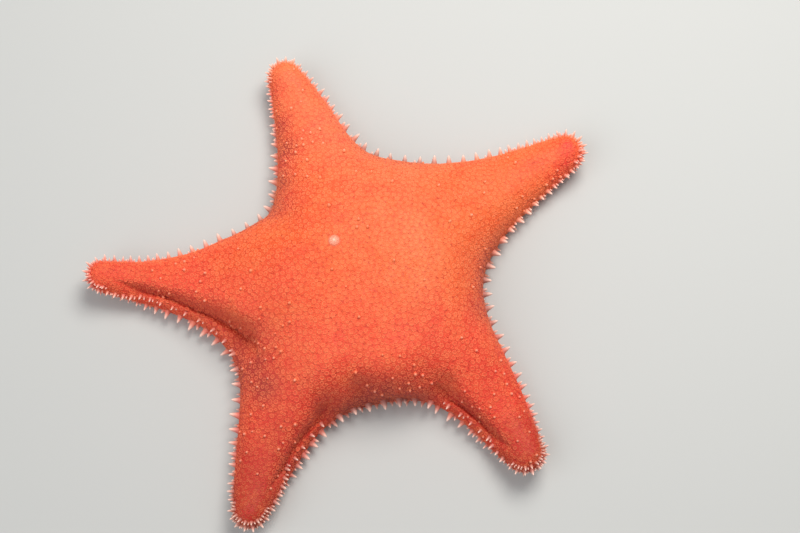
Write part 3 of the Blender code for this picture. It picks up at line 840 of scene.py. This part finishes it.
# ---------------- edge spines
# Blunt spines of lime under thin skin stand out round the edge in two rows, one on each row of edge plates,
# the larger with one or two short ones beside it, and a third short row crowns each tip. Their points are
# nearly white.
SPINE_SPACING = (0.0066, 0.0032)
SPINE_LENGTH = (0.0046, 0.0031)
SPINE_RADIUS = (0.00155, 0.00088)
SPINE_SIZES = (0.88, 1.1)
SPINE_LEAST = 0.6
SPINE_ROWS = (
    {"heights": (0.0064, 0.0092), "sizes": (1.0, 0.5), "rise": 24.0, "start": 0.0, "from": -1.0},
    {"heights": (0.0024, 0.0044), "sizes": (0.6, 1.0), "rise": 6.0, "start": 0.5, "from": -1.0},
    {"heights": (0.009, 0.01), "sizes": (0.8, 0.6), "rise": 40.0, "start": 0.5, "from": 0.99},
)
# The short spines beside a large one: their side, how often they stand by the bays and at the tips, how far
# aside and below its root theirs is, and their size as a share of its own.
SPINES_BESIDE = (
    {"side": 1.0, "odds": (0.3, 0.9), "aside": (0.0017, 0.0022), "below": 0.0007, "sizes": (0.45, 0.7)},
    {"side": -1.0, "odds": (0.15, 0.5), "aside": (0.0017, 0.0023), "below": 0.0004, "sizes": (0.4, 0.6)},
)
SPINE_CLOSER = 0.65
SPINE_THIN = 0.35
SPINE_TILT = 7.0
SPINE_SWING = 0.12
SPINE_FAN = 120.0
FLARE_TO = (0.05, 0.4)
RIM_POINT = (0.001, 0.0011)
WALL_POINTS = 26
EDGE_POINTS = 400


def peg(rings, sides, sunk, outline, bend=0.0):
    """A round peg one unit high: outline gives its radius at shares of the height, and bend leans its end."""
    bm = bmesh.new()
    bmesh.ops.create_uvsphere(bm, u_segments=sides, v_segments=rings, radius=1.0)
    for vert in bm.verts:
        share = math.acos(max(-1.0, min(1.0, -vert.co.z))) / math.pi
        around = Vector((vert.co.x, vert.co.y, 0.0))
        if around.length > SLIVER:
            around.normalize()
            around *= outline(share)
        vert.co = around + Vector((bend * share**2, 0.0, blend(-sunk, 1.0, share)))
    return bm


def tapered(root, point, blunt, flare=0.0):
    """Outline of a peg with an even taper, a low flare and a round end from a share of its height."""

    def outline(share):
        widened = 1.0 + flare * (1.0 - smooth(*FLARE_TO, share))
        rounded = math.sqrt(max(0.0, 1.0 - (max(0.0, share - blunt) / (1.0 - blunt)) ** 2))
        return blend(root, point, share) * widened * rounded

    return outline


def run_along(points):
    """How far along a line of points each of them lies."""
    return np.append(0.0, np.cumsum(norm(np.diff(points, axis=0), axis=1)))


def side_stations(arm, side, start):
    """Shares of one side at which spines stand: even steps by the bay that shorten towards the tip."""
    fine = np.linspace(0.0, 1.0, EDGE_POINTS)
    run = run_along(side_points(arm, side, fine))
    step = blend(*SPINE_SPACING, smooth(ARM_FROM, 1.0, fine))
    count = np.append(0.0, np.cumsum(np.diff(run) / step[1:]))
    stations = np.arange(start, count[-1] - SPINE_LEAST, 1.0)
    return np.interp(stations, count, fine)


def wall_points(ribs, height):
    """The point of the wall at a given height over the arm's underside, on each rib."""
    raised = lift(ribs.arm, ribs.edge)
    rim = np.column_stack([ribs.edge - ribs.out * RIM_POINT[0], RIM_POINT[1] + raised])
    wall = np.array([rim, *(back_point(ribs, part)[0] for part in np.linspace(1.0, 0.5, WALL_POINTS))])
    rise = np.maximum.accumulate(wall[:, :, 2] - raised, axis=0)
    found = [[np.interp(height[i], rise[:, i], wall[:, i, k]) for k in range(3)] for i in range(len(height))]
    return np.array(found)


def fringe(arm, row):
    """Root, way out in plan, nearness to the tip and size of each spine in one row of a petal."""
    half = 90.0 - ARMS[arm]["taper"]
    around = math.radians(2.0 * half) * ARMS[arm]["tip"]
    turn = np.linspace(-half, half, round(around / SPINE_SPACING[1]) + 1)
    sets = (
        side_ribs(arm, -1, side_stations(arm, -1, row["start"] or 1.0)),
        tip_ribs(arm, turn),
        side_ribs(arm, 1, side_stations(arm, 1, row["start"])),
    )
    for ribs in sets:
        roots = wall_points(ribs, blend(*row["heights"], ribs.folded)) + np.array([*MOUTH, 0.0])
        near_tip = smooth(ARM_FROM, 1.0, ribs.share)
        yield from zip(roots, ribs.away, near_tip, blend(*row["sizes"], ribs.folded))


def plant(name, shape, roots, axes, radii, lengths, finish, slot, free=False):
    """Pegs along their axes that bend upwards, at the skin's nearest spots, or free at their own roots."""
    axes = unit(np.array(axes))
    frames = frames_on(axes, np.ones(len(axes)), np.tile([0.0, 0.0, 1.0], (len(axes), 1)))
    sizes = np.transpose([np.ones(len(axes)) * measure for measure in (radii, radii, lengths)])
    spots = spots_nearest(roots)
    if free:
        spots.place = np.array(roots)
    strew(name, shape, spots, frames * sizes[:, None, :], finish, slot)


outline = tapered(root=1.1, point=0.22, blunt=0.75, flare=0.25)
spine_peg = peg(rings=8, sides=8, sunk=0.16, outline=outline, bend=0.25)
spine = shape_of(spine_peg, pale=rising(0.15, 0.95, least=0.2))
spine_finish = flesh("spines")
for arm in ARMS:
    roots, axes, lengths, radii = [], [], [], []
    for row in SPINE_ROWS:
        for root, way, near_tip, size in fringe(arm, row):
            if near_tip < row["from"]:
                continue
            along = np.array([-way[1], way[0], 0.0])
            length = size * blend(*SPINE_LENGTH, near_tip)
            radius = size * blend(*SPINE_RADIUS, near_tip)
            closer = blend(1.0, SPINE_CLOSER, near_tip)
            group = [(0.0, 0.0, rng.uniform(*SPINE_SIZES))]
            for small in SPINES_BESIDE:
                if rng.random() < blend(*small["odds"], near_tip):
                    aside = small["side"] * rng.uniform(*small["aside"]) * closer
                    group.append((aside, -small["below"], rng.uniform(*small["sizes"])))
            for aside, down, share in group:
                rise = math.radians(row["rise"] + rng.uniform(-SPINE_TILT, SPINE_TILT))
                swing = way + along[:2] * (rng.uniform(-SPINE_SWING, SPINE_SWING) + aside * SPINE_FAN)
                swing /= norm(swing)
                roots.append(root + along * aside + np.array([0.0, 0.0, down * size]))
                axes.append([*(swing * math.cos(rise)), math.sin(rise)])
                lengths.append(length * share)
                radii.append(radius * (SPINE_THIN + (1.0 - SPINE_THIN) * share))
    plant("edge_spines_" + arm, spine, roots, axes, radii, lengths, spine_finish, "spines")


# ---------------- tubercles of the back
# Here and there a plate bears one stout, blunt spinelet instead of granules: a few on the disc, more of them
# low on its left side and along the arms. They are pale at the point, and lean outwards from square to the
# skin.
STUB_UP = 0.05
STUB_LOWEST = 0.007
STUB_HEIGHT = 0.0012
STUB_RADIUS = 0.00072
STUB_SPACING = 0.0034
LEAN_FROM = 0.02
DISC_RADIUS = 0.047
# Bearing and distance from the mouth, spread, and share of plates that bear one in the middle of each crowd.
STUB_CROWDS = (
    (220.5, 0.045, 0.007, 0.55), (229, 0.055, 0.008, 0.45), (205, 0.045, 0.011, 0.2),
    (117, 0.054, 0.007, 0.6), (112.5, 0.069, 0.0065, 0.85), (111.8, 0.084, 0.0065, 0.75),
    (176, 0.078, 0.016, 0.4), (312, 0.078, 0.022, 0.5), (246, 0.084, 0.018, 0.4), (285, 0.044, 0.009, 0.3),
    (34, 0.085, 0.02, 0.25),
)
STUB_ELSEWHERE = 0.05
spots = random_spots(count=24000)
spots = spots.keep((spots.normal[:, 2] > STUB_UP) & (spots.place[:, 2] > STUB_LOWEST))
likely = sum(fading(spots.place[:, :2] - MOUTH, STUB_CROWDS), STUB_ELSEWHERE)
chosen = spaced(spots, STUB_SPACING / 2 * rng.uniform(0.85, 1.3, size=len(likely)))
chosen = chosen[rng.random(len(chosen)) < likely[chosen]]
spots = spots.keep(chosen)
size = rng.uniform(0.75, 1.1, size=len(chosen))
outward = unit(spots.place - np.array([*MOUTH, LEAN_FROM]))
leaning = spots.normal + outward * rng.uniform(0.2, 0.8, size=(len(chosen), 1))
frames = frames_on(unit(leaning), size) * np.array([STUB_RADIUS, STUB_RADIUS, STUB_HEIGHT])
on_disc = spots.from_mouth() < DISC_RADIUS
outline = tapered(root=1.3, point=0.48, blunt=0.55)
for name, here, palest in (("tubercles_disc", on_disc, 0.1), ("tubercles_arms", ~on_disc, 0.28)):
    stub_peg = peg(rings=7, sides=8, sunk=0.2, outline=outline)
    stub = shape_of(stub_peg, crown=rising(0.0, 0.4), pale=rising(0.3, 0.95, most=palest))
    strew(name, stub, spots.keep(here), frames[here], spine_finish, "spines")


# ---------------- granules of the mouth side
# The flat underside is paved with plates whose granules stand close and even, paler than those of the back.
# They keep out of the furrows, and the star rests on them.
BELOW_SPACING = 0.00118
BELOW_FACING = -0.35
BELOW_FROM = 0.4
BELOW_CLIMB = 0.0024
pebble = lone_granule(radius=0.00042, raised=0.0, crown=0.5)
spots = random_spots(count=120000)
climb = np.zeros(len(spots.place))
for arm, here, own in spots.by_petal():
    climb[here] = own.place[:, 2] - lift(arm, own.place[:, :2] - MOUTH)
on_flat = (spots.normal[:, 2] < BELOW_FACING) & (spots.marks[:, 1] > BELOW_FROM)
spots = spots.keep(on_flat & (climb < BELOW_CLIMB))
strew_granules("underside_granules_", pebble, spots, BELOW_SPACING / 2, sizes=(0.75, 1.05), shrunk=0.85)


# ---------------- furrow spines
# A comb of short flat-ended spines stands along each lip of the furrows and closes over the tube feet. They
# are jointed to the plates of the lip, and on a resting star lie level across the furrow.
COMB_SPACING = 0.0019
COMB_LENGTH = 0.0023
COMB_RADIUS = 0.00036
COMB_HEIGHT = 0.0009
COMB_SWING = 0.25
COMB_RISE = (-0.05, 0.16)
FURROW_CLEAR = 0.01
FURROW_END = 0.985
FURROW_POINTS = 500
blunt_peg = peg(rings=6, sides=6, sunk=0.2, outline=tapered(root=1.0, point=1.0, blunt=0.75))
comb_spine = shape_of(blunt_peg, pale=rising(0.0, 0.9, least=0.15, most=0.75))


def evenly(points, spacing):
    """Indices of points along a line at even steps of length, from where it is clear of the mouth."""
    clear = np.argmax(norm(points, axis=1) > FURROW_CLEAR)
    run = run_along(points[clear:])
    return np.unique(np.searchsorted(run, np.arange(0.0, run[-1], spacing))) + clear


for arm in ARMS:
    roots, axes = [], []
    for side in (-1, 1):
        ribs = side_ribs(arm, side, np.linspace(0.0, FURROW_END, FURROW_POINTS))
        plan = ribs.at(ribs.lip)
        raised = lift(arm, plan)
        for index in evenly(plan, COMB_SPACING):
            roots.append([*(plan[index] + MOUTH), COMB_HEIGHT + raised[index]])
            swing = rng.uniform(-COMB_SWING, COMB_SWING)
            run = np.array([-ribs.out[index, 1], ribs.out[index, 0]])
            axes.append([*(-ribs.out[index] + run * swing), rng.uniform(*COMB_RISE)])
    lengths = COMB_LENGTH * rng.uniform(0.85, 1.1, size=len(roots))
    plant("furrow_spines_" + arm, comb_spine, roots, axes, COMB_RADIUS, lengths, spine_finish, "spines")


# ---------------- tube feet
# Two rows of soft water-filled feet stand in every furrow, each a hollow column that ends in a sucker. They
# hang from the furrow's roof and just reach the floor.
FOOT_SPACING = 0.0024
FOOT_ASIDE = 0.0012
FOOT_HEIGHT = 0.0044
FOOT_RADIUS = 0.00062
FOOT_UNDER_ROOF = 0.0001
FOOT_SPLAY = (-0.05, 0.16)
FOOT_LEAN = 0.12
FOOT_POINTS = 600
SUCKER = {"radius": 1.15, "at": 0.95, "spread": 0.07}
COLUMN = {"radius": 0.82, "ripple": 0.06, "ripples": 50.0, "ends": (0.9, 1.0)}


def foot_outline(share):
    """A ringed column, narrow above its sucker."""
    sucker = SUCKER["radius"] * math.exp(-(((share - SUCKER["at"]) / SUCKER["spread"]) ** 2))
    column = COLUMN["radius"] + COLUMN["ripple"] * math.cos(share * COLUMN["ripples"])
    return max(sucker, column * (1.0 - smooth(*COLUMN["ends"], share)))


foot = shape_of(peg(rings=16, sides=8, sunk=0.1, outline=foot_outline))
foot_finish, foot_shader = new_finish("tube feet", roughness=0.35)
foot_shader.inputs["Base Color"].default_value = (0.88, 0.47, 0.29, 1.0)
roots, axes, heights = [], [], []
for arm in ARMS:
    share = np.linspace(0.0, 1.0, FOOT_POINTS)
    line = crest_points(arm, share)
    forward = unit(crest_points(arm, share + NUDGE) - crest_points(arm, share - NUDGE))
    for index in evenly(line, FOOT_SPACING):
        for side in (-1, 1):
            aside = np.array([-forward[index, 1], forward[index, 0]]) * side
            plan = line[index] + aside * FOOT_ASIDE + forward[index] * (FOOT_SPACING / 4 * side)
            roots.append([*(plan + MOUTH), FURROW_DEPTH - FOOT_UNDER_ROOF + lift(arm, plan[None])[0]])
            lean = aside * rng.uniform(*FOOT_SPLAY) + forward[index] * rng.uniform(-FOOT_LEAN, FOOT_LEAN)
            axes.append([*lean, -1.0])
            heights.append(FOOT_HEIGHT * rng.uniform(0.88, 1.0))
plant("tube_feet", foot, roots, axes, FOOT_RADIUS, heights, foot_finish, "tube_feet", free=True)


# ---------------- jaws
# Five wedge-shaped jaws of lime meet round the mouth, each at the inner corner between two furrows, with
# short mouth spines along its two edges. A thin skin roofs the space between them, round the opening.
JAW_SIZE = 0.0034
JAW_DISTANCE = 0.0056
JAW_FOOT = 0.0009
JAW_ROOF = 0.0062
JAW_BEVEL = 0.0007
ROOF_RADIUS = 0.0086
ROOF_SIDES = 60
# The roof's rings inwards, radius and height over the jaws: a low rise, and the lip of the mouth.
ROOF_RINGS = ((0.005, 0.0003), (0.0024, 0.0), (0.0016, -0.0003), (0.0016, 0.0016))
# Mouth spines along one edge of a jaw: how many, their radius and length, and the first place and the step of
# each from the jaw's middle, outwards and aside, and of its way, aside and inwards.
MOUTH_SPINES = 5
MOUTH_SPINE_SIZE = (0.00034, 0.0017)
MOUTH_SPINE_OUT = (0.0012, 0.0008)
MOUTH_SPINE_ASIDE = (0.0022, 0.00042)
MOUTH_SPINE_HEIGHTS = (0.0012, 0.0014)
MOUTH_SPINE_WAY = ((0.9, 0.17), (0.25, 0.2))
MOUTH_SPINE_RISE = 0.02
jaw_bm = bmesh.new()
jaw_below = jaw_bm.verts.layers.float.new("below")
for bay in BAYS.values():
    turn = math.radians(bay["bearing"])
    middle = Vector((*(MOUTH + heading(bay["bearing"]) * JAW_DISTANCE), (JAW_FOOT + JAW_ROOF) / 2))
    place = Matrix.Translation(middle) @ Matrix.Rotation(turn + math.pi / 2, 4, "Z")
    size = {"radius1": JAW_SIZE, "radius2": JAW_SIZE, "depth": JAW_ROOF - JAW_FOOT}
    made = bmesh.ops.create_cone(jaw_bm, cap_ends=True, segments=3, matrix=place, **size)
    edges = list({edge for vert in made["verts"] for edge in vert.link_edges})
    rounding = {"offset": JAW_BEVEL, "segments": 4, "profile": 0.5}
    bmesh.ops.bevel(jaw_bm, geom=edges, affect="EDGES", material=-1, **rounding)
roof = Matrix.Translation((*MOUTH, JAW_ROOF))
bmesh.ops.create_circle(jaw_bm, segments=ROOF_SIDES, radius=ROOF_RADIUS, matrix=roof)
edges = [edge for edge in jaw_bm.edges if edge.is_wire]
for radius, height in ROOF_RINGS:
    grown = bmesh.ops.extrude_edge_only(jaw_bm, edges=edges)["geom"]
    edges = [item for item in grown if isinstance(item, bmesh.types.BMEdge)]
    for vert in (item for item in grown if isinstance(item, bmesh.types.BMVert)):
        around = (vert.co.xy - Vector(MOUTH)).normalized() * radius
        vert.co = Vector((*(Vector(MOUTH) + around), JAW_ROOF + height))
bmesh.ops.holes_fill(jaw_bm, edges=edges, sides=0)
bmesh.ops.recalc_face_normals(jaw_bm, faces=jaw_bm.faces)
for vert in jaw_bm.verts:
    vert[jaw_below] = 1.0
jaws = show("jaws", mesh_of("jaws", jaw_bm), flesh("jaws", grain=0.00015), "jaws")
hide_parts("jaws")
roots, axes = [], []
for bay in BAYS.values():
    inward = -heading(bay["bearing"])
    for side in (-1, 1):
        across = np.array([-inward[1], inward[0]]) * side
        for step in range(MOUTH_SPINES):
            out = JAW_DISTANCE + MOUTH_SPINE_OUT[0] - MOUTH_SPINE_OUT[1] * step
            aside = MOUTH_SPINE_ASIDE[0] - MOUTH_SPINE_ASIDE[1] * step
            roots.append([*(-inward * out + across * aside + MOUTH), MOUTH_SPINE_HEIGHTS[step % 2]])
            (way_aside, aside_less), (way_in, more_in) = MOUTH_SPINE_WAY
            way = across * (way_aside - aside_less * step) + inward * (way_in + more_in * step)
            axes.append([*way, MOUTH_SPINE_RISE])
plant("mouth_spines", comb_spine, roots, axes, *MOUTH_SPINE_SIZE, spine_finish, "spines", free=True)


# ---------------- stage
# A plain pale floor under the star, one large soft light high on the right behind it and a broad one
# opposite.
floor_bm = bmesh.new()
bmesh.ops.create_grid(floor_bm, x_segments=1, y_segments=1, size=4.0)
floor_mesh = mesh_of("floor", floor_bm)
floor_finish, floor_shader = new_finish("floor", roughness=0.9)
floor_shader.inputs["Base Color"].default_value = (0.52, 0.52, 0.5, 1.0)
floor_mesh.materials.append(floor_finish)
add_object("floor", floor_mesh)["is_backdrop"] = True


def add_light(name, place, size, power, colour):
    """A square light that points at the middle of the floor."""
    lamp = add_object(name, bpy.data.lights.new(name, "AREA"))
    lamp.data.size = size
    lamp.data.energy = power
    lamp.data.color = colour
    lamp.location = place
    lamp.rotation_euler = (-Vector(place)).to_track_quat("-Z", "Y").to_euler()
    lamp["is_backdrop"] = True


add_light("key", place=(0.195, 0.33, 0.66), size=0.42, power=5.6, colour=(1.0, 0.98, 0.95))
add_light("fill", place=(-1.45, -0.85, 1.8), size=2.2, power=26.0, colour=(0.96, 0.98, 1.0))
world = bpy.data.worlds.new("studio")
world.use_nodes = True
sky = world.node_tree.nodes["Background"].inputs
sky["Color"].default_value = (0.92, 0.95, 1.0, 1.0)
sky["Strength"].default_value = 0.36
bpy.context.scene.world = world
bpy.context.scene.view_settings.view_transform = "Standard"

camera = add_object("camera", bpy.data.cameras.new("camera"))
camera.data.lens = 60.0
camera.data.sensor_width = 36.0
camera.data.clip_start = 0.01
camera.data.clip_end = 50.0
camera.location = (0.02664, -0.17067, 0.55798)
camera.rotation_euler = (math.radians(18.0), 0.0, 0.0)
bpy.context.scene.camera = camera

visual_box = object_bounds()
boxes = {"cad": cad_box, "visual": visual_box}
{name: [list(corner) for corner in box] for name, box in boxes.items()}
